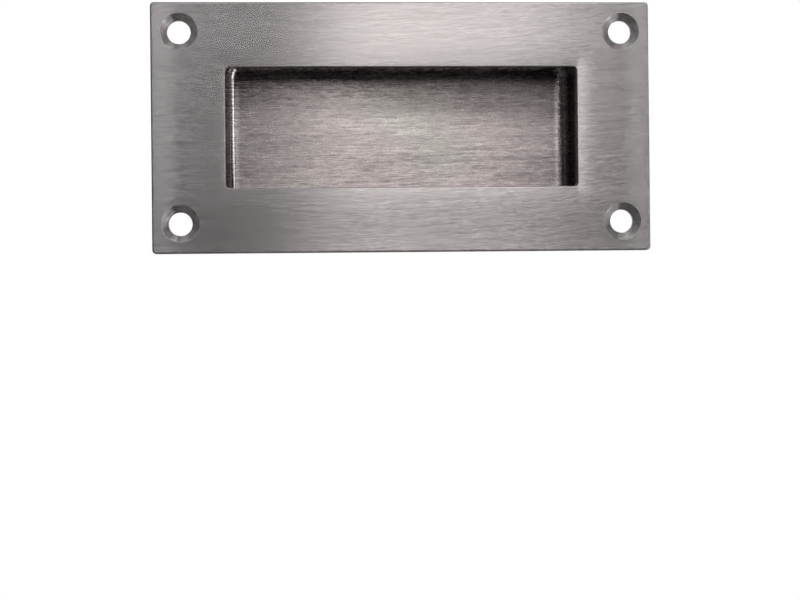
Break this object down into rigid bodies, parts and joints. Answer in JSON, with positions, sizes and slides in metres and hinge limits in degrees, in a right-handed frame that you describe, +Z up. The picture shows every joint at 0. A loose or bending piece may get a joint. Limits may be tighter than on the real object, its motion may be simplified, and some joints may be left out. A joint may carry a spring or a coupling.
{
  "type": "recessed pull handle",
  "caption": "Flush rectangular pull handle: a brushed steel face plate with countersunk screw holes and a pressed pan behind its opening for the fingers.",
  "frame": {"origin": "centre of the screw hole pattern, in the plane of the face plate's back, where it meets the door", "axes": "+X along the handle's length, +Z up, -Y out of the door towards the room, +Y into the door"},
  "size_m": [0.1, 0.0142, 0.05],
  "materials": {
    "face_steel": "satin, brushed along the handle's length",
    "pan_steel": "satin, brushed along the handle's length, slightly darker and warmer than the face"
  },
  "bodies": {
    "root": {"face_plate": "face_steel", "recess_pan": "pan_steel"}
  },
  "joints": []
}
